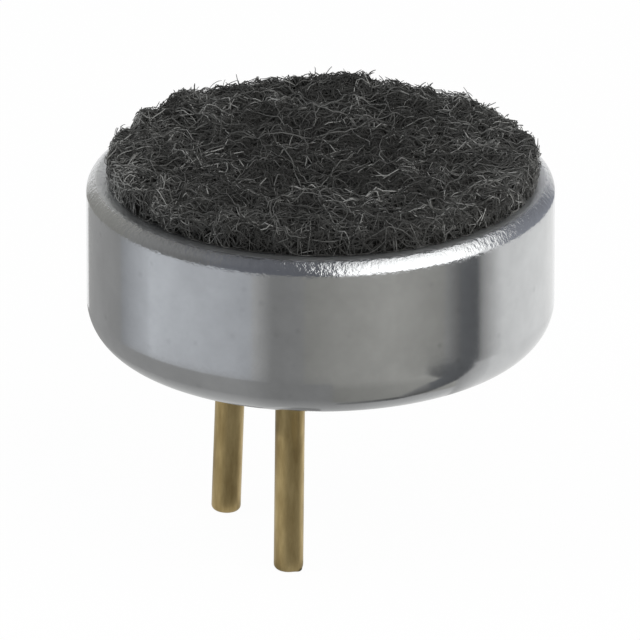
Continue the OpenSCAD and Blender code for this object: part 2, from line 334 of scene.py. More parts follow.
def noise(tree, scale, detail=4.0, roughness=0.55, stretch=(1, 1, 1), distortion=0.0):
    """Fractal noise on Object coordinates, scale in waves to the metre."""
    made = node(tree, "ShaderNodeTexNoise", Vector=object_place(tree, stretch), Scale=scale, Detail=detail,
                Roughness=roughness, Distortion=distortion)
    return made.outputs["Fac"]


def stored_tone(tree, output):
    """The tone that is stored with a piece's mesh, from that output of an Attribute node."""
    made = node(tree, "ShaderNodeAttribute")
    made.attribute_name = "tone"
    return made.outputs[output]


def ramp(tree, factor, stops):
    """Colours along a factor; stops are (place, colour)."""
    made = node(tree, "ShaderNodeValToRGB", Fac=factor)
    elements = made.color_ramp.elements
    while len(elements) < len(stops):
        elements.new(0.5)
    for element, (place, colour) in zip(elements, stops):
        element.position = place
        element.color = (*colour, 1.0)
    return made.outputs["Color"]


def spread(tree, factor, low, high, start=0.3, end=0.7):
    """A number from low to high while the factor runs from start to end; most noise is from 0.3 to 0.7."""
    made = node(tree, "ShaderNodeMapRange", Value=factor, From_Min=start, From_Max=end,
                To_Min=low, To_Max=high)
    return made.outputs["Result"]


def spotted(tree, distance, start, end, colour, ground):
    """A colour up to the distance start, changing to the output ground at the distance end."""
    first, second, result = 6, 7, 2  # colour sockets of the Mix node
    made = node(tree, "ShaderNodeMix", Factor=spread(tree, distance, 0.0, 1.0, start, end))
    made.data_type = "RGBA"
    feed(tree, (*colour, 1.0), made.inputs[first])
    feed(tree, ground, made.inputs[second])
    return made.outputs[result]


def bumps(tree, heights):
    """The normal after a chain of bumps; heights are (factor, strength or its output, depth)."""
    normal = None
    for height, strength, depth in heights:
        made = node(tree, "ShaderNodeBump", Height=height, Strength=strength, Distance=depth)
        if normal is not None:
            tree.links.new(normal, made.inputs["Normal"])
        normal = made.outputs["Normal"]
    return normal


def shade(colour, factor):
    """A colour made darker or lighter by a factor."""
    return tuple(min(1.0, c * factor) for c in colour)


def satin_metal(name, colour, corner):
    """Drawn satin metal: a faint cloud and specks in its tone, a fine grain and upright die marks.

    Above the height corner, where the front corner starts, the grain is coarse and the flat front matt.
    """
    made, tree = new_material(name)
    cloud = noise(tree, 2200.0, detail=6.0, roughness=0.62)
    clouded = ramp(tree, cloud, [(0.3, shade(colour, 0.93)), (0.7, shade(colour, 1.05))])
    specks = node(tree, "ShaderNodeTexVoronoi", Vector=object_place(tree), Scale=3000.0)
    tone = spotted(tree, specks.outputs["Distance"], 0.03, 0.17, shade(colour, 0.9), clouded)
    grain = noise(tree, 26000.0, detail=3.0, roughness=0.6)
    marks = noise(tree, 9000.0, detail=2.0, roughness=0.5, stretch=(1, 1, 0.05))
    coarse = noise(tree, 15000.0, detail=3.0, roughness=0.6)
    height = node(tree, "ShaderNodeSeparateXYZ", Vector=object_place(tree)).outputs["Z"]
    at_corner = spread(tree, height, 0.0, 0.9, corner - 0.05 * MM, corner + 0.08 * MM)
    matt_front = spread(tree, height, 0.0, 0.4, corner + 0.15 * MM, corner + 0.178 * MM)
    rough = combined(tree, "MAXIMUM", spread(tree, grain, 0.10, 0.15), matt_front)
    normal = bumps(tree, [
        (grain, 0.10, 0.002 * MM), (marks, 0.06, 0.004 * MM), (coarse, at_corner, 0.016 * MM)])
    return finished(made, Base_Color=tone, Metallic=1.0, Roughness=rough, Normal=normal)


def felt_fibre(name, dark, light):
    """Fibre whose tone is stored with the mesh, from near black to pale grey, with a soft sheen."""
    made, tree = new_material(name)
    pale = 0.28
    middle = tuple((1 - pale) * low + pale * high for low, high in zip(dark, light))
    tone = ramp(tree, stored_tone(tree, "Fac"), [(0.0, dark), (0.5, middle), (1.0, light)])
    return finished(made, Base_Color=tone, Roughness=0.62, Specular_IOR_Level=0.35)


def felt_ground(name, dark):
    """The mat under the fibres: near black with a woolly grain."""
    made, tree = new_material(name)
    wool = noise(tree, 16000.0, roughness=0.65, distortion=1.5)
    tone = ramp(tree, wool, [(0.35, shade(dark, 0.5)), (0.7, shade(dark, 1.4))])
    normal = bumps(tree, [(wool, 0.8, 0.03 * MM)])
    return finished(made, Base_Color=tone, Roughness=0.95, Specular_IOR_Level=0.1, Normal=normal)


def dull_brass(name, colour, tarnish, dark_spot):
    """Drawn brass: tarnish in long streaks, fine draw lines along the wire, and a dark spot at one place."""
    made, tree = new_material(name)
    streak = noise(tree, 5200.0, roughness=0.6, stretch=(1, 1, 0.22))
    lines = noise(tree, 24000.0, detail=2.0, roughness=0.5, stretch=(1, 1, 0.04))
    streaked = ramp(tree, streak, [(0.36, tarnish), (0.64, colour)])
    # Within 0.02 to 0.06 mm of the dark spot the colour runs from near black to the streaked brass.
    away = combined(tree, "DISTANCE", object_place(tree), dark_spot, "ShaderNodeVectorMath")
    tone = spotted(tree, away, 0.02 * MM, 0.06 * MM, shade(tarnish, 0.12), streaked)
    rough = spread(tree, streak, 0.42, 0.28)
    normal = bumps(tree, [(lines, 0.2, 0.004 * MM), (streak, 0.25, 0.01 * MM)])
    return finished(made, Base_Color=tone, Metallic=1.0, Roughness=rough, Normal=normal)


def plain_finish(name, colour, metallic, roughness, grain, depth):
    """A finish of one tone with a fine grain in its colour, gloss and surface."""
    made, tree = new_material(name)
    fleck = noise(tree, grain, detail=3.0)
    tone = ramp(tree, fleck, [(0.3, shade(colour, 0.9)), (0.7, shade(colour, 1.08))])
    rough = spread(tree, fleck, roughness - 0.05, roughness + 0.06)
    normal = bumps(tree, [(fleck, 0.15, depth)])
    return finished(made, Base_Color=tone, Metallic=metallic, Roughness=rough, Normal=normal)


def dress(piece, finish):
    """Gives a piece one finish in place of any it has."""
    piece.data.materials.clear()
    piece.data.materials.append(finish)


# Can

def can_section(s):
    """Half section of the can from the front's middle round the outside, over the lip and back up inside.

    Outside: flat front, quarter round corner, straight wall, quarter round crimp, flat land, and the lip's
    arc about a second centre. Inside: the same arcs one sheet thickness nearer their centres. The last
    number of each run is how many points it has.
    """
    inner, turn = s.crimp - s.sheet, math.degrees(s.lip_turn)
    land_out, land_in = s.radius - s.crimp, s.radius - s.crimp - s.land
    inside, ceiling = s.radius - s.sheet, s.height - s.sheet
    corner = (s.radius - s.front_corner, s.height - s.front_corner)
    return np.concatenate([
        np.linspace((0, s.height), (corner[0], s.height), 24)[:-1],
        arc(corner, s.front_corner, 90, 0, 22),
        np.linspace((s.radius, corner[1]), (s.radius, s.crimp), 14)[1:-1],
        arc((land_out, s.crimp), s.crimp, 0, -90, 26),
        arc((land_in, s.crimp), s.crimp, -90, -90 - turn, 14),
        arc((land_in, s.crimp), inner, -90 - turn, -90, 12),
        arc((land_out, s.crimp), inner, -90, 0, 16),
        arc((inside - s.front_inner, ceiling - s.front_inner), s.front_inner, 0, 90, 6),
        np.linspace((inside - s.front_inner, ceiling), (0, ceiling), 22)[1:]])


class CAPSULE_OT_can(bpy.types.Operator):
    """Make the drawn can with its crimped rear edge and sound holes"""

    bl_idname = "capsule.can"
    bl_label = "Can"

    # Steps round the can and round a hole, and the angle in degrees from which an edge is sharp.
    TURNS, HOLE_TURNS, SHARP = 288, 40, 35

    def execute(self, context):
        s = context.scene.capsule_can
        can = new_piece("can_shell", *revolved(can_section(s), self.TURNS))
        self.drill(context, can, s)
        dress(can, satin_metal("satin_can", s.colour, s.height - s.front_corner))
        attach(can, "root")
        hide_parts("can")
        return {"FINISHED"}

    def drill(self, context, can, s):
        """Cuts the sound holes: one round bit in the middle and the others evenly on a circle."""
        half_section = np.array([[0, -1.0], [1, -1], [1, 1], [0, 1]]) * (s.hole_radius, s.sheet)
        bit, faces = revolved(half_section, self.HOLE_TURNS)
        angle = np.arange(s.hole_count) * TURN / s.hole_count
        places = np.concatenate([[[0, 0]], spot(s.hole_circle, angle)])
        places = np.column_stack([places, np.full(len(places), s.height - s.sheet / 2)])
        shift = (np.arange(len(places)) * len(bit))[:, None, None]
        cutter = new_piece("sound_bits", bit[None] + places[:, None],
                           [(g[None] + shift).reshape(-1, g.shape[1]) for g in faces])
        cut = can.modifiers.new("Sound holes", "BOOLEAN")
        cut.object, cut.operation, cut.solver = cutter, "DIFFERENCE", "EXACT"
        context.view_layer.update()
        drilled = bpy.data.meshes.new_from_object(can.evaluated_get(context.evaluated_depsgraph_get()))
        can.modifiers.clear()
        can.data = drilled
        bpy.data.objects.remove(cutter)
        drilled.polygons.foreach_set("use_smooth", np.full(len(drilled.polygons), True))
        drilled.set_sharp_from_angle(angle=math.radians(self.SHARP))


# Felt

# Tufts that stand higher at the felt's edge: place, height and width in millimetres.
RAISED = (((-2.39, 1.17), 0.10, 0.26), ((-2.40, -1.05), 0.06, 0.26))


def felt_surface(q, angle, lift, s):
    """A point of the felt at distance q from its middle along its skin, raised by lift.

    The skin runs flat to the worn edge, turns down through a quarter round and drops to the can.
    """
    flat = s.radius - s.edge
    top = s.foot + s.thickness
    turn = np.clip((q - flat) / s.edge, 0, np.pi / 2)
    down = np.clip(q - flat - s.edge * np.pi / 2, 0, s.thickness - s.edge)
    r = np.minimum(q, flat) + (s.edge + lift) * np.sin(turn)
    z = top - s.edge + (s.edge + lift) * np.cos(turn) - down
    return np.stack([r * np.cos(angle), r * np.sin(angle), z], -1)


def skin_run(s, share):
    """Length of the felt's skin from its middle, round the worn edge and down that share of its side."""
    return s.radius - s.edge + s.edge * np.pi / 2 + share * (s.thickness - s.edge)


def lumps(place, seed, length, waves=40):
    """Uneven height with a spread of about 1: the sum of waves of about that length in random directions."""
    rng = np.random.default_rng(seed)
    heading, phase = rng.uniform(0, TURN, (2, waves))
    size = length * rng.uniform(0.6, 1.7, waves)
    run = (place[..., :1] * np.cos(heading) + place[..., 1:] * np.sin(heading)) * TURN / size
    return np.sin(run + phase).sum(-1) * math.sqrt(2 / waves)


def tufts(q, angle, s):
    """Height of the mat's tufts at a place on its skin: two sizes of lumps, and bell-shaped raised tufts."""
    place = spot(q, angle)
    height = 0.75 * lumps(place, seed=5, length=0.42 * MM) + 0.65 * lumps(place, seed=6, length=0.17 * MM)
    raised = sum(tall * np.exp(-((place / MM - middle) ** 2).sum(-1) / (2 * wide ** 2))
                 for middle, tall, wide in RAISED)
    return s.relief * np.clip(height, -2.4, 2.2) + raised * MM


def fibre_runs(centre, heading, length, bend, wave, phase, steps):
    """Paths in the plane: the heading turns evenly by bend and swings by a sine wave along the fibre."""
    along, radians = np.linspace(-0.5, 0.5, steps), 8
    swing = wave[:, None] * np.sin(radians * along + phase[:, None])
    course = heading[:, None] + bend[:, None] * along + swing
    run = np.cumsum(spot(1, course) * (length / (steps - 1))[:, None, None], axis=1)
    return centre[:, None] + run - run.mean(1, keepdims=True)


def held_in(points, far, low):
    """Points brought in to a distance from the felt's middle and up to a height, where they lie past it."""
    inward = np.minimum(1, far / np.maximum(np.linalg.norm(points[..., :2], axis=-1), NEAR_ZERO))
    return np.concatenate([points[..., :2] * inward[..., None], np.maximum(points[..., 2:], low)], -1)


def trimmed(paths, s, beyond=0.0):
    """Fibres held to the felt: none as low as the can's front, none further past its edge than beyond."""
    clear = 0.012 * MM
    return held_in(paths, s.radius + beyond - s.fibre, s.foot + clear)


def laid(flat, s, limit, share, lift):
    """Fibres laid on the skin, at most limit from its middle, lifted over a share of the tufts' height."""
    q = np.minimum(np.linalg.norm(flat, axis=-1), limit)
    angle = np.arctan2(flat[..., 1], flat[..., 0])
    return trimmed(felt_surface(q, angle, share * tufts(q, angle, s) + lift, s), s)


def lengths(rng, n, middle, scatter, low, high):
    """Fibre lengths about a middle one, on a lognormal curve between limits, given in millimetres."""
    return np.clip(rng.lognormal(np.log(middle), scatter, n), low, high) * MM


def thicknesses(rng, n, s, middle, scatter, low, high):
    """Fibre radii on a bell curve between limits, given against the mean radius."""
    return s.fibre * np.clip(rng.normal(middle, scatter, n), low, high)


def fibre_tones(rng, q, angle, s, pale):
    """Tones from 0 to 1: most fibres dark, a share pale, and more of them grey.

    Patches differ, and the tone grows towards the edge, most of all along the sheen side, where pale
    patches add a painted sheen of grazing light. The felt's upright side is darker the further it lies from
    that line: painted shade.
    """
    n, place, grey = len(q), spot(q, angle), 2.4 * pale
    pick = rng.uniform(0, 1, n)
    tone = np.where(pick < pale, rng.uniform(0.45, 1.0, n),
                    np.where(pick < grey, rng.uniform(0.12, 0.4, n), rng.uniform(0.0, 0.1, n)))
    patch = np.clip(0.88 + 0.5 * lumps(place, seed=8, length=0.8 * MM), 0.25, 1.9)
    # Pale patches at the edge along the sheen side: painted sheen.
    sheen_patches = np.clip(1 + 0.9 * lumps(place, seed=9, length=0.42 * MM), 0, 3)
    out, along = q / s.radius, np.cos(angle - s.sheen_side)
    # The gain towards the edge is largest along the sheen side, where it is a painted sheen of light grazing
    # the edge fibres.
    worn = 0.8 + 0.45 * out ** 2 + 0.75 * out ** 3 * np.abs(along)
    base = 0.13 * out ** 2 + sheen_patches * out ** 4 * along ** 2 * np.where(along > 0, 0.18, 0.34)
    # The upright side darkens away from the sheen line: painted shade on the felt's side wall.
    side = np.where(q > s.radius - s.edge, 0.25 + 0.75 * along ** 4, 1.0)
    return np.clip((tone * worn + base) * side * patch, 0, 1)


def fibre_piece(name, paths, radii, tones, finish, s):
    """One piece of many fibres about the felt's middle, each with its tone stored on its points."""
    points, faces = tubes(paths + np.array(s.middle), radii)
    piece = new_piece(name, points, faces)
    tone = piece.data.attributes.new("tone", "FLOAT", "POINT")
    tone.data.foreach_set("value", np.repeat(tones, len(points) // len(tones)).astype(np.float32))
    dress(piece, finish)
    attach(piece, "root")


class CAPSULE_OT_felt(bpy.types.Operator):
    """Make the matted felt: a lumpy ground, layers of lying fibres, long strands and a raised nap"""

    bl_idname = "capsule.felt"
    bl_label = "Felt"

    GROUND_ROWS, GROUND_COLUMNS = 129, 360
    MAT_SEED, STRAND_SEED, NAP_SEED = 23, 47, 71
    MAT_STEPS, STRAND_STEPS, NAP_STEPS = 11, 28, 8
    # Lying fibres of the top layer and of those below: middle length in millimetres, share that hangs over
    # the edge, share of pale ones, and thickness against the mean.
    TOP, BELOW = (0.8, 0.3, 0.15, 1.1), (0.65, 0.0, 0.07, 1.0)

    def execute(self, context):
        s = context.scene.capsule_felt
        fibre = felt_fibre("felt_fibre", s.dark, s.light)
        self.ground(s)
        for layer in range(s.layers):
            self.mat(s, layer, fibre)
        self.strand(s, fibre)
        self.nap(s, fibre)
        return {"FINISHED"}

    def ground(self, s):
        """The mat's body: the felt's skin, pressed in by a little and gathered in tufts."""
        rows, columns = self.GROUND_ROWS, self.GROUND_COLUMNS
        pressed, inset = 0.075 * MM, 0.02 * MM
        q, angle = np.meshgrid(np.linspace(0, s.radius + s.thickness, rows + 1)[1:],
                               np.arange(columns) * TURN / columns, indexing="ij")
        skin = felt_surface(q, angle, tufts(q, angle, s) - pressed, s)
        skin = held_in(skin, s.radius - inset, s.foot)
        poles = [[0, 0, skin[0, :, 2].mean()], [0, 0, s.foot]]
        points = np.concatenate([skin.reshape(-1, 3), poles]) + np.array(s.middle)
        faces = [grid_faces(rows, columns, wrap=True), pole_fans(rows, columns)]
        ground = new_piece("felt_mat", points, faces)
        dress(ground, felt_ground("felt_ground", s.dark))
        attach(ground, "root")
        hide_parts("dust_felt")

    def mat(self, s, layer, fibre):
        """Fibres that lie in the skin and cross at random; some at the edge hang down over it.

        Each layer lies a little higher than the last, and each fibre rises and falls in it as a sine wave.
        """
        rng = np.random.default_rng(self.MAT_SEED + layer)
        n, steps = s.matted, self.MAT_STEPS
        middle, hanging, pale, thick = self.TOP if layer == s.layers - 1 else self.BELOW
        beyond, rim, above_foot = 0.14 * MM, 0.2 * MM, 0.015 * MM
        deepest, apart, uneven = -0.054, 0.027, 0.012
        far = (s.radius + beyond) * np.sqrt(rng.uniform(0, 1, n))
        around = rng.uniform(0, TURN, n)
        length = lengths(rng, n, middle, scatter=0.4, low=0.3, high=1.8)
        hung = (far > s.radius - rim) & (rng.uniform(0, 1, n) < hanging)
        heading = np.where(hung, around + rng.normal(0, 0.25, n), rng.uniform(0, TURN, n))
        bend = rng.normal(0, 1.3, n) * np.where(hung, 0.4, 1)
        wave = rng.normal(0, 0.6, n) * np.where(hung, 0.5, 1)
        flat = fibre_runs(spot(far, around), heading, length, bend, wave, rng.uniform(0, TURN, n), steps)
        depth = (deepest + apart * layer + rng.uniform(-uneven, uneven, n))[:, None] * MM
        swell = (rng.uniform(0.004, 0.026, n) * MM)[:, None]
        run, start = rng.uniform(3, 10, n)[:, None], rng.uniform(0, 6.3, n)[:, None]
        rise = swell * np.sin(np.linspace(0, 1, steps) * run + start)
        paths = laid(flat, s, limit=skin_run(s, share=1) - above_foot, share=1, lift=depth + rise)
        radii = thicknesses(rng, n, s, thick, scatter=0.2, low=0.6, high=1.7)
        tones = fibre_tones(rng, far, around, s, pale)
        fibre_piece(f"felt_fibres_{layer + 1}", paths, radii, tones, fibre, s)

    def strand(self, s, fibre):
        """Long fibres that lie loose over the tufts in wide bends."""
        rng = np.random.default_rng(self.STRAND_SEED)
        n, within = s.strands, 0.9
        far = within * s.radius * np.sqrt(rng.uniform(0, 1, n))
        around = rng.uniform(0, TURN, n)
        length = lengths(rng, n, middle=1.5, scatter=0.35, low=0.9, high=2.8)
        heading = rng.uniform(0, TURN, n)
        bend, wave, phase = rng.normal(0, 1.2, n), rng.normal(0, 0.35, n), rng.uniform(0, TURN, n)
        flat = fibre_runs(spot(far, around), heading, length, bend, wave, phase, self.STRAND_STEPS)
        rise = (0.026 + rng.uniform(0, 0.016, n))[:, None] * MM
        paths = laid(flat, s, limit=s.radius, share=0.7, lift=rise)
        radii = thicknesses(rng, n, s, middle=1.1, scatter=0.15, low=0.8, high=1.4)
        fibre_piece("felt_strands", paths, radii, rng.uniform(0.25, 0.65, n), fibre, s)

    def nap(self, s, fibre):
        """Fibres that leave the skin, lean over and curl, most of them near the felt's edge.

        Along a fibre the lean from the skin's normal grows evenly while its side swings round, and the
        height over the felt's top is held down by a tanh curve.
        """
        rng = np.random.default_rng(self.NAP_SEED)
        n, steps = s.nap, self.NAP_STEPS
        anywhere, rim, sunk, tallest, beyond = 0.3, 0.35 * MM, 0.05 * MM, 0.2 * MM, 0.04 * MM
        q = np.where(rng.uniform(0, 1, n) < anywhere, s.radius * np.sqrt(rng.uniform(0, 1, n)),
                     rng.uniform(s.radius - rim, skin_run(s, share=0.35), n))
        angle = rng.uniform(0, TURN, n)
        low = tufts(q, angle, s) - sunk
        root = felt_surface(q, angle, low, s)
        out = unit(felt_surface(q, angle, low + MM, s) - root)
        side = rng.normal(0, 1, (n, 3))
        side = unit(side - out * np.einsum("ij,ij->i", side, out)[:, None])
        other = np.cross(out, side)
        length = lengths(rng, n, middle=0.14, scatter=0.4, low=0.06, high=0.36)
        along = np.linspace(0, 1, steps)[:, None]
        lean = rng.uniform(0.35, 1.2, n)[:, None, None] + rng.uniform(0.3, 1.7, n)[:, None, None] * along
        swing = rng.normal(0, 0.9, n)[:, None, None] * along
        aside = side[:, None] * np.cos(swing) + other[:, None] * np.sin(swing)
        course = out[:, None] * np.cos(lean) + aside * np.sin(lean)
        step = (length / (steps - 1))[:, None, None]
        paths = root[:, None] + np.cumsum(course * step, axis=1) - course[:, :1] * step
        top = s.foot + s.thickness
        over = np.maximum(paths[..., 2] - top, 0)
        paths[..., 2] = np.minimum(paths[..., 2], top) + tallest * np.tanh(over / tallest)
        radii = thicknesses(rng, n, s, middle=0.95, scatter=0.2, low=0.5, high=1.5)
        tones = fibre_tones(rng, q, angle, s, pale=0.09)
        fibre_piece("felt_nap", trimmed(paths, s, beyond), radii, tones, fibre, s)


# Pins

def leaned(points, root, lean, heading):
    """Points turned about root so that the downward axis leans by lean towards heading."""
    cos_lean, sin_lean = math.cos(lean), math.sin(lean)
    cos_head, sin_head = math.cos(heading), math.sin(heading)
    tilt = np.array([[cos_lean, 0, -sin_lean], [0, 1, 0], [sin_lean, 0, cos_lean]])
    turn = np.array([[cos_head, -sin_head, 0], [sin_head, cos_head, 0], [0, 0, 1]])
    return points @ (turn @ tilt).T + np.asarray(root)


class CAPSULE_OT_pins(bpy.types.Operator):
    """Make both terminal pins, each a leaning wire with a round tip, a flared root and a flat head"""

    bl_idname = "capsule.pins"
    bl_label = "Pins"

    # Steps round a pin, and the angle in degrees from which an edge is sharp.
    TURNS, SHARP = 64, 40

    def execute(self, context):
        s = context.scene.capsule_pins
        # The place on the ground pin's sheared corner where the brass is coloured near black.
        corner = np.array([*spot(s.radius, s.burr - s.heading), -s.reach])
        dark_spot = leaned(corner, (s.pitch / 2, -s.offset, 0), s.leans[1], s.heading)
        brass = dull_brass("dull_brass", s.colour, s.tarnish, dark_spot)
        for name, side, lean in (("output_pin", -1, s.leans[0]), ("ground_pin", 1, s.leans[1])):
            points, faces = self.wire(s, name, side, lean)
            pin = new_piece(f"{name}_wire", points, faces, sharp=self.SHARP)
            dress(pin, brass)
            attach(pin, "root")
            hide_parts(name)
        return {"FINISHED"}

    def wire(self, s, name, side, lean):
        """A pin's half section carried round its axis and leaned, with its head left level on the board."""
        head_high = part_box(name)[1].z
        seat = head_high - s.head_thickness
        profile = np.concatenate([
            [[0, -s.reach]],
            arc((s.radius - s.tip, s.tip - s.reach), s.tip, -90, 0, 10),
            np.linspace((s.radius, s.tip - s.reach), (s.radius, 0), 32)[1:],
            [[s.radius + s.flare, seat], [s.head, seat], [s.head, head_high], [0, head_high]]])
        straight, faces = revolved(profile, self.TURNS)
        if name == "ground_pin":
            straight = self.sheared(straight, s)
        root = np.array([side * s.pitch / 2, -s.offset, 0])
        points = leaned(straight, root, lean, s.heading)
        slack = 0.01 * MM
        level = straight[:, 2] > seat - slack
        shift = np.array([*spot(-seat * math.tan(lean), s.heading), 0])
        points[level] = straight[level] + root + shift
        return points, faces

    def sheared(self, points, s):
        """The tip's rounded corner pushed out to a square one on the burr's side.

        A corner point at (u, v) tip radii from the arc's centre moves out by the factor 1 / max(u, v), in
        the share that a bell curve gives about the burr's side.
        """
        wide, on_corner = 0.4, 0.01
        far, turn = np.hypot(points[:, 0], points[:, 1]), np.arctan2(points[:, 1], points[:, 0])
        u, v = (far - s.radius + s.tip) / s.tip, (s.tip - s.reach - points[:, 2]) / s.tip
        off = np.angle(np.exp(1j * (turn - s.burr + s.heading)))
        grow = 1 + np.exp(-(off / wide) ** 2) * (1 / np.maximum(np.maximum(u, v), NEAR_ZERO) - 1)
        moved = np.where((u > on_corner) & (v > on_corner), grow, 1.0)
        out = (s.radius - s.tip + u * s.tip * moved) / np.maximum(far, NEAR_ZERO)
        return np.column_stack([points[:, :2] * out[:, None], s.tip - s.reach - v * s.tip * moved])


# Rear and inside

class CAPSULE_OT_inside(bpy.types.Operator):
    """Finish the board, its copper and solder, and the pieces inside the can"""

    bl_idname = "capsule.inside"
    bl_label = "Board and inside"

    # Name, colour, metal or not, roughness, grain in waves to the metre, its depth in millimetres, nodes.
    FINISHES = (
        ("green_mask", (0.03, 0.14, 0.06), 0.0, 0.38, 9000.0, 0.004, ("circuit_board",)),
        ("tinned_pad", (0.62, 0.6, 0.54), 1.0, 0.34, 12000.0, 0.006, ("ground_ring", "output_pad")),
        ("bright_solder", (0.6, 0.61, 0.61), 1.0, 0.22, 7000.0, 0.008, ("output_solder", "ground_solder")),
        ("bare_copper", (0.58, 0.25, 0.11), 1.0, 0.36, 12000.0, 0.005,
         ("gate_track", "output_track", "ground_track")),
        ("turned_brass", (0.6, 0.45, 0.2), 1.0, 0.32, 14000.0, 0.004,
         ("diaphragm_ring", "backplate", "gate_ring")),
        ("metal_film", (0.7, 0.7, 0.68), 1.0, 0.16, 4000.0, 0.001, ("diaphragm",)),
        ("spacer_film", (0.75, 0.7, 0.55), 0.0, 0.45, 6000.0, 0.001, ("spacer",)),
        ("charged_film", (0.72, 0.78, 0.8), 0.0, 0.18, 5000.0, 0.001, ("electret_film",)),
        ("white_moulding", (0.8, 0.78, 0.73), 0.0, 0.5, 8000.0, 0.004, ("insulating_ring",)),
        ("black_moulding", (0.012, 0.012, 0.013), 0.0, 0.55, 12000.0, 0.006, ("jfet_body",)),
        ("tinned_lead", (0.58, 0.58, 0.56), 1.0, 0.3, 12000.0, 0.004, ("jfet_leads", "capacitor_ends")),
        ("fired_ceramic", (0.42, 0.27, 0.13), 0.0, 0.5, 15000.0, 0.004, ("capacitor_1", "capacitor_2")),
    )

    def execute(self, context):
        for name, colour, metallic, roughness, grain, depth, nodes in self.FINISHES:
            finish = plain_finish(name, colour, metallic, roughness, grain, depth * MM)
            for key in nodes:
                dress(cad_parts[key], finish)
        return {"FINISHED"}


# Stage

def facing(azimuth, elevation):
    """Unit vector from the capsule towards a place at that azimuth and elevation."""
    return Vector((math.sin(azimuth) * math.cos(elevation), -math.cos(azimuth) * math.cos(elevation),
                   math.sin(elevation)))


def ring_at(s, turns, count):
    """Level unit vectors at angles from the camera to the right, evenly from the first to the last turn."""
    around = s.azimuth + np.radians(np.linspace(*turns, count))
    return np.stack([np.sin(around), -np.cos(around), np.zeros(count)], -1)


def aimed(name, data, place, back):
    """A camera or lamp at a place, with its back in that direction."""
    made = linked(name, data)
    made.location = place
    made.rotation_mode = "QUATERNION"
    made.rotation_quaternion = (-back).to_track_quat("-Z", "Y")
    return made


def bare_tree(owner):
    """The emptied node tree of a material or a world."""
    owner.use_nodes = True
    owner.node_tree.nodes.clear()
    return owner.node_tree


def seen(tree):
    """1 for rays from the camera, and for those in metal and through glass."""
    rays = node(tree, "ShaderNodeLightPath").outputs
    mirrored = combined(tree, "MAXIMUM", rays["Is Camera Ray"], rays["Is Glossy Ray"])
    return combined(tree, "MAXIMUM", mirrored, rays["Is Transmission Ray"])


def blend(tree, share, first, second, kind):
    """An output node of that kind, fed by a first shader and by a second one in its share."""
    mix = node(tree, "ShaderNodeMixShader", Fac=share)
    feed(tree, first.outputs[0], mix.inputs[1])
    feed(tree, second.outputs[0], mix.inputs[2])
    node(tree, kind, Surface=mix.outputs["Shader"])


def card_glow(name):
    """A glowing material for the studio cards, whose tone is stored with each card's mesh."""
    made = bpy.data.materials.new(name)
    tree = bare_tree(made)
    glow = node(tree, "ShaderNodeEmission", Color=stored_tone(tree, "Color"), Strength=1.0)
    node(tree, "ShaderNodeOutputMaterial", Surface=glow.outputs["Emission"])
    return made


def rounded(can, size, middle, tilt):
    """Radius, height and tilt of the can's skin on a round edge whose arc has its centre at that height.

    The radius loses size times (1 - cos tilt), and the height gains size times sin tilt.
    """
    return can.radius - size * (1 - np.cos(tilt)), middle + size * np.sin(tilt), tilt


def can_run(can, top, foot, round_rows=24, wall_rows=20):
    """Radius, height and tilt of the can's skin between two tilts, given in degrees.

    Above 0 the tilt runs over the front corner's quarter round, at 0 down the upright wall, and below 0
    round the rolled edge.
    """
    corner, runs = can.height - can.front_corner, []
    if top > 0:
        tilt = np.radians(np.linspace(top, max(foot, 0), round_rows))
        runs.append(rounded(can, can.front_corner, corner, tilt))
    if top >= 0 >= foot:
        height = np.linspace(corner, can.crimp, wall_rows + 2)[1:-1]
        runs.append((np.full(wall_rows, can.radius), height, np.zeros(wall_rows)))
    if foot < 0:
        tilt = np.radians(np.linspace(min(top, 0), foot, round_rows))
        runs.append(rounded(can, can.crimp, can.crimp, tilt))
    return [np.concatenate(part)[:, None] for part in zip(*runs)]


def slanted_run(can, left, right, columns, round_rows=24):
    """The same on the rolled edge, between tilts that change evenly from the card's left to its right."""
    top, foot = np.linspace(left, right, columns, axis=-1)
    tilt = np.radians(top + (foot - top) * np.linspace(0, 1, round_rows)[:, None])
    return rounded(can, can.crimp, can.crimp, tilt)


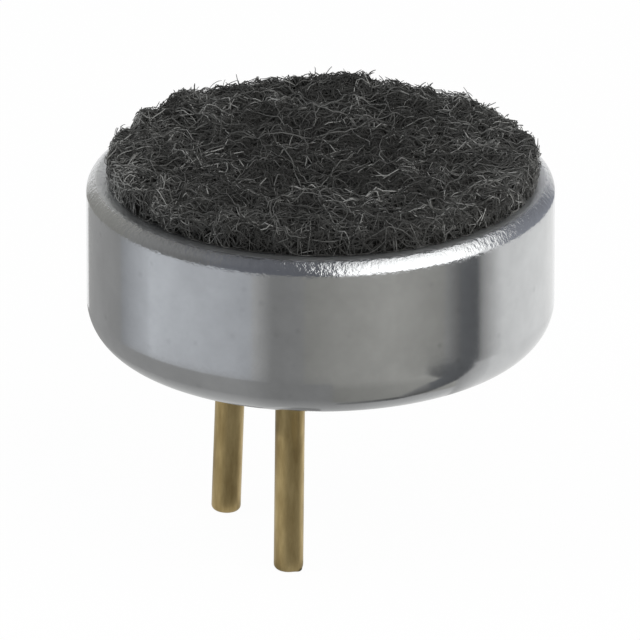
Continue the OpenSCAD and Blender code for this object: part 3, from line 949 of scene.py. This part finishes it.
class CAPSULE_OT_stage(bpy.types.Operator):
    """Set the camera, the floor, the world, the lamps and the studio cards"""

    bl_idname = "capsule.stage"
    bl_label = "Stage"

    # Name, angle from the camera to the right, elevation, distance and size in millimetres, watts, colour.
    LAMPS = (
        ("key", 43, 36, 60, 76, 0.030, (1.0, 0.99, 0.97)),
        ("fill", -75, 40, 70, 60, 0.017, (0.95, 0.975, 1.0)),
    )
    # Cards that the can's metal mirrors to the camera. Each is named by where it shows on the can: first and
    # last angle round the can from the camera to the right, first and last tilt of the metal there (90 at
    # the front corner's top, 0 on the upright wall, below 0 on the rolled edge), its tone at its left and at
    # its right, the factor of that at its top and at its foot, and its tint. A slanted card has both tilts
    # for its left and for its right, and hangs in front of the others; the lights stand further back.
    PLAIN, COOL, BLUE, WARM = (1.0, 1.0, 0.99), (0.97, 1.0, 1.045), (0.95, 0.985, 1.1), (1.01, 1.0, 0.94)
    CARDS = (
        ("wall_far_left", (-82, -58), (3, -1), (0.40, 0.335), (1, 1), PLAIN),
        ("wall_left_edge", (-58, -47), (3, -1), (0.34, 0.63), (1, 1), COOL),
        ("wall_left", (-47, -17), (3, -1), (0.70, 0.49), (1.02, 0.98), COOL),
        ("wall_left_end", (-17, -12), (3, -1), (0.49, 0.26), (1, 1), PLAIN),
        ("wall_front_left", (-12, -4), (3, -1), (0.255, 0.285), (1.02, 0.98), PLAIN),
        ("wall_front", (-4, 18), (3, -1), (0.305, 0.435), (1.02, 0.97), WARM),
        ("wall_front_right", (18, 32), (3, -1), (0.43, 0.31), (1.02, 0.98), WARM),
        ("wall_dark_edge", (32, 36.5), (3, -1), (0.31, 0.15), (1, 1), PLAIN),
        ("wall_dark", (36.5, 42.5), (3, -1), (0.145, 0.105), (1, 1), COOL),
        ("wall_right_edge", (42.5, 51), (3, -1), (0.26, 0.82), (1, 1), PLAIN),
        ("wall_right", (51, 82), (3, -1), (0.83, 0.95), (1, 1), PLAIN),
        ("curl_left", (-86, -20), (-1, -27), (0.37, 0.34), (1, 0.97), PLAIN),
        ("curl_left_low", (-86, -20), (-27, -66), (0.52, 0.46), (0.8, 1.6), PLAIN),
        ("curl_left_end", (-20, -10), (-1, -27), (0.34, 0.25), (1, 1), PLAIN),
        ("curl_left_end_low", (-20, -10), (-27, -66), (0.46, 0.36), (0.75, 1.6), PLAIN),
        ("curl_front_left", (-10, 3), (-1, -27), (0.25, 0.26), (1, 1), PLAIN),
        ("curl_front_left_low", (-10, 3), (-27, -66), (0.36, 0.35), (0.75, 1.6), PLAIN),
        ("curl_front_top", (3, 36), (-1, -9), (0.27, 0.41), (1.2, 1.02), WARM),
        ("curl_front", (3, 36), (-9, -31), (0.27, 0.41), (1.02, 0.95), WARM),
        ("curl_front_low", (3, 36), (-31, -66), (0.36, 0.62), (0.85, 1.5), PLAIN),
        ("curl_right_edge", (36, 46), (-1, -66), (0.34, 0.7), (0.9, 1.4), PLAIN),
        ("curl_right", (46, 86), (-1, -66), (0.78, 0.92), (1, 1.05), PLAIN),
        ("rim_far_left", (-88, -55), (90, 3), (0.36, 0.32), (1.15, 0.85), WARM),
        ("rim_left", (-55, -28), (90, 3), (0.28, 0.175), (1, 1), PLAIN),
        ("rim_front_left", (-28, 4), (90, 3), (0.19, 0.14), (0.9, 1), BLUE),
        ("rim_back", (4, 50), (90, 64), (0.08, 0.1), (0.8, 1.5), BLUE),
        ("rim_right", (50, 88), (90, 3), (0.21, 0.22), (0.9, 1.6), BLUE),
    )
    SLANTED = (
        ("line", (4, 20), (-32, -36, -29, -34), (0.24, 0.11), (1, 1), PLAIN),
        ("wedge_low", (20, 28), (-28, -34, -11, -29), (0.12, 0.12), (2.3, 0.85), PLAIN),
        ("wedge", (28, 36), (-13, -29, -1, -19), (0.13, 0.1), (1.3, 1), COOL),
        ("flame_tip", (27, 31), (0.26, -0.4, 0.3, -10), (0.2, 0.14), (1, 1), PLAIN),
        ("flame", (31, 38), (0.3, -10, 0.3, -10), (0.14, 0.12), (1, 1), COOL),
        ("wedge_high", (36, 41), (-1, -19, -1, -5), (0.1, 0.15), (1, 1), COOL),
    )
    LIGHTS = (
        ("rim_light", (4, 36), (64, 8), (1.6, 2.6), (0.5, 1.15), PLAIN),
        ("rim_light_end", (36, 50), (64, 8), (1.9, 0.6), (0.7, 1.1), PLAIN),
    )
    # Radius in millimetres of the dome that each set of cards lies on, and their share of the way to it.
    SETS = ((CARDS, 9.5, 1), (SLANTED, 9.5, 0.96), (LIGHTS, 30, 1))
    # Upright cards around each pin: first and last angle from the camera to the right, and the tone at each.
    PIN_CARDS = (
        ("left", (-140, -44), (0.6, 0.6)),
        ("middle", (-44, -10), (0.56, 0.28)),
        ("right", (-10, 66), (0.26, 0.26)),
        ("right_edge", (66, 94), (0.26, 0.7)),
        ("far_right", (94, 150), (0.76, 0.95)),
    )
    # Points across a card, and across and up one of the pins' cards.
    COLUMNS, PIN_COLUMNS, PIN_ROWS = 40, 24, 12

    def execute(self, context):
        s = context.scene.capsule_stage
        self.camera(context, s)
        self.floor(s)
        self.world(context)
        self.lamps(s)
        glow = card_glow("studio_card")
        self.cards(context.scene.capsule_can, s, glow)
        self.pin_cards(context.scene.capsule_pins, s, glow)
        context.scene.view_settings.view_transform = "Standard"
        return {"FINISHED"}

    def camera(self, context, s):
        """A long lens that looks at a point below the can's middle."""
        data = bpy.data.cameras.new("camera")
        data.lens, data.sensor_width = s.lens, 36.0
        data.clip_start, data.clip_end = 0.01, 5.0
        back = facing(s.azimuth, s.elevation)
        up = facing(s.azimuth, s.elevation + math.pi / 2)
        right = facing(s.azimuth + math.pi / 2, 0)
        distance = s.width * s.lens / data.sensor_width
        place = Vector((0, 0, CAN_HIGH.z / 2)) - up * s.drop - right * s.aside + back * distance
        context.scene.camera = aimed("camera", data, place, back)

    def floor(self, s):
        """A wide pale floor at the pins' tips; seen directly or in metal it is nearly white."""
        z, half, glowing = PIN_LOW.z - 0.002 * MM, 1.0, 0.97
        corners = [(-half, -half, z), (half, -half, z), (half, half, z), (-half, half, z)]
        mesh = bpy.data.meshes.new("floor")
        mesh.from_pydata(corners, [], [(0, 1, 2, 3)])
        floor = linked("floor", mesh)
        made = bpy.data.materials.new("pale_floor")
        tree = bare_tree(made)
        matt = node(tree, "ShaderNodeBsdfDiffuse", Color=(*s.floor, 1.0))
        glow = node(tree, "ShaderNodeEmission", Color=WHITE, Strength=1.0)
        share = combined(tree, "MULTIPLY", seen(tree), glowing)
        blend(tree, share, matt, glow, "ShaderNodeOutputMaterial")
        dress(floor, made)

    def world(self, context):
        """White where it is seen directly, in metal or through glass, and a soft even light elsewhere."""
        world = bpy.data.worlds.new("studio")
        context.scene.world = world
        tree = bare_tree(world)
        light = node(tree, "ShaderNodeBackground", Color=(0.97, 0.985, 1.0, 1.0), Strength=0.5)
        white = node(tree, "ShaderNodeBackground", Color=WHITE, Strength=1.0)
        blend(tree, seen(tree), light, white, "ShaderNodeOutputWorld")

    def lamps(self, s):
        """A broad key lamp at the right and a weaker fill at the left, both aimed at the can's front."""
        for name, turn, lift, distance, size, power, colour in self.LAMPS:
            data = bpy.data.lights.new(name, "AREA")
            data.shape, data.size, data.energy, data.color = "DISK", size * MM, power, colour
            back = facing(s.azimuth + math.radians(turn), math.radians(lift))
            aimed(name, data, back * distance * MM + Vector((0, 0, CAN_HIGH.z)), back)

    def cards(self, can, s, glow):
        """Curved cards, each the mirror image of a patch of the can's skin.

        From a point of the patch the view v is mirrored in the skin's normal n, r = 2 (n.v) n - v, and the
        card's point lies on that line where it meets the floor or a dome about the can, whichever is nearer.
        """
        view = np.array(facing(s.azimuth, s.elevation))
        middle, low, columns = 1.0 * MM * UP, PIN_LOW.z + 0.003 * MM, self.COLUMNS
        for cards, dome, near in self.SETS:
            for name, turns, tilts, ends, heights, tint in cards:
                slanted = len(tilts) == 4
                run = slanted_run(can, tilts[:2], tilts[2:], columns) if slanted else can_run(can, *tilts)
                radius, height, tilt = (
                    np.broadcast_to(part, (len(part), columns))[..., None] for part in run)
                ring = ring_at(s, turns, columns)
                skin = radius * ring + height * UP
                normal = np.cos(tilt) * ring + np.sin(tilt) * UP
                mirrored = 2 * (normal @ view)[..., None] * normal - view
                ahead = np.einsum("ijk,ijk->ij", skin - middle, mirrored)
                to_dome = np.sqrt(ahead ** 2 - ((skin - middle) ** 2).sum(-1) + (dome * MM) ** 2) - ahead
                to_floor = (low - skin[..., 2]) / np.minimum(mirrored[..., 2], -NEAR_ZERO)
                reach = np.minimum(to_dome, to_floor) * near
                tone = np.linspace(*heights, len(tilt))[:, None] * np.linspace(*ends, columns)
                self.card(name, skin + reach[..., None] * mirrored, tone, tint, glow)

    def pin_cards(self, pins, s, glow):
        """Cards that stand close round each pin, low enough that the can's rolled edge doesn't show them."""
        radius, low, high = 0.42 * MM, PIN_LOW.z + 0.004 * MM, -0.9 * MM
        rows, columns = self.PIN_ROWS, self.PIN_COLUMNS
        height = np.linspace(low, high, rows)
        for pin, side, lean in (("output", -1, pins.leans[0]), ("ground", 1, pins.leans[1])):
            place = spot(-height * math.tan(lean), pins.heading) + (side * pins.pitch / 2, -pins.offset)
            axis = np.column_stack([place, height])[:, None]
            for name, turns, ends in self.PIN_CARDS:
                tone = np.broadcast_to(np.linspace(*ends, columns), (rows, columns))
                points = axis + radius * ring_at(s, turns, columns)
                self.card(f"{pin}_{name}", points, tone, self.PLAIN, glow)

    def card(self, name, points, tone, tint, glow):
        """One card from a grid of points and tones, seen in metal only."""
        card = new_piece(f"card_{name}", points, [grid_faces(*tone.shape)], smooth=False)
        colours = tone[..., None] * np.array([*tint, 1.0])
        paint = card.data.attributes.new("tone", "FLOAT_COLOR", "POINT")
        paint.data.foreach_set("color", colours.astype(np.float32).ravel())
        dress(card, glow)
        card.visible_camera = card.visible_diffuse = card.visible_shadow = False
        card.visible_transmission = False


class CAPSULE_PT_panel(bpy.types.Panel):
    """Lists the capsule's pieces and their settings"""

    bl_idname = "CAPSULE_PT_panel"
    bl_label = "Microphone Capsule"
    bl_space_type = "VIEW_3D"
    bl_region_type = "UI"
    bl_category = "Capsule"

    def draw(self, context):
        for operator, group in STEPS:
            box = self.layout.box()
            box.operator(operator.bl_idname)
            settings = getattr(context.scene, group, None) if group else None
            if settings:
                for name in settings.__annotations__:
                    box.prop(settings, name)


STEPS = (
    (CAPSULE_OT_can, "capsule_can"),
    (CAPSULE_OT_felt, "capsule_felt"),
    (CAPSULE_OT_pins, "capsule_pins"),
    (CAPSULE_OT_inside, None),
    (CAPSULE_OT_stage, "capsule_stage"),
)
SETTINGS = {
    "capsule_can": CanSettings,
    "capsule_felt": FeltSettings,
    "capsule_pins": PinSettings,
    "capsule_stage": StageSettings,
}
CLASSES = (*SETTINGS.values(), *(step[0] for step in STEPS), CAPSULE_PT_panel)


def register():
    """Registers the classes and gives the scene their settings."""
    for made in CLASSES:
        bpy.utils.register_class(made)
    for name, group in SETTINGS.items():
        setattr(bpy.types.Scene, name, bpy.props.PointerProperty(type=group))


def unregister():
    """Takes the settings and the classes away again."""
    for name in SETTINGS:
        delattr(bpy.types.Scene, name)
    for made in reversed(CLASSES):
        bpy.utils.unregister_class(made)


def main():
    register()
    for operator, _ in STEPS:
        group, name = operator.bl_idname.split(".")
        if getattr(getattr(bpy.ops, group), name)() != {"FINISHED"}:
            raise RuntimeError(f"{operator.bl_label} didn't finish")


if __name__ == "__main__":
    main()
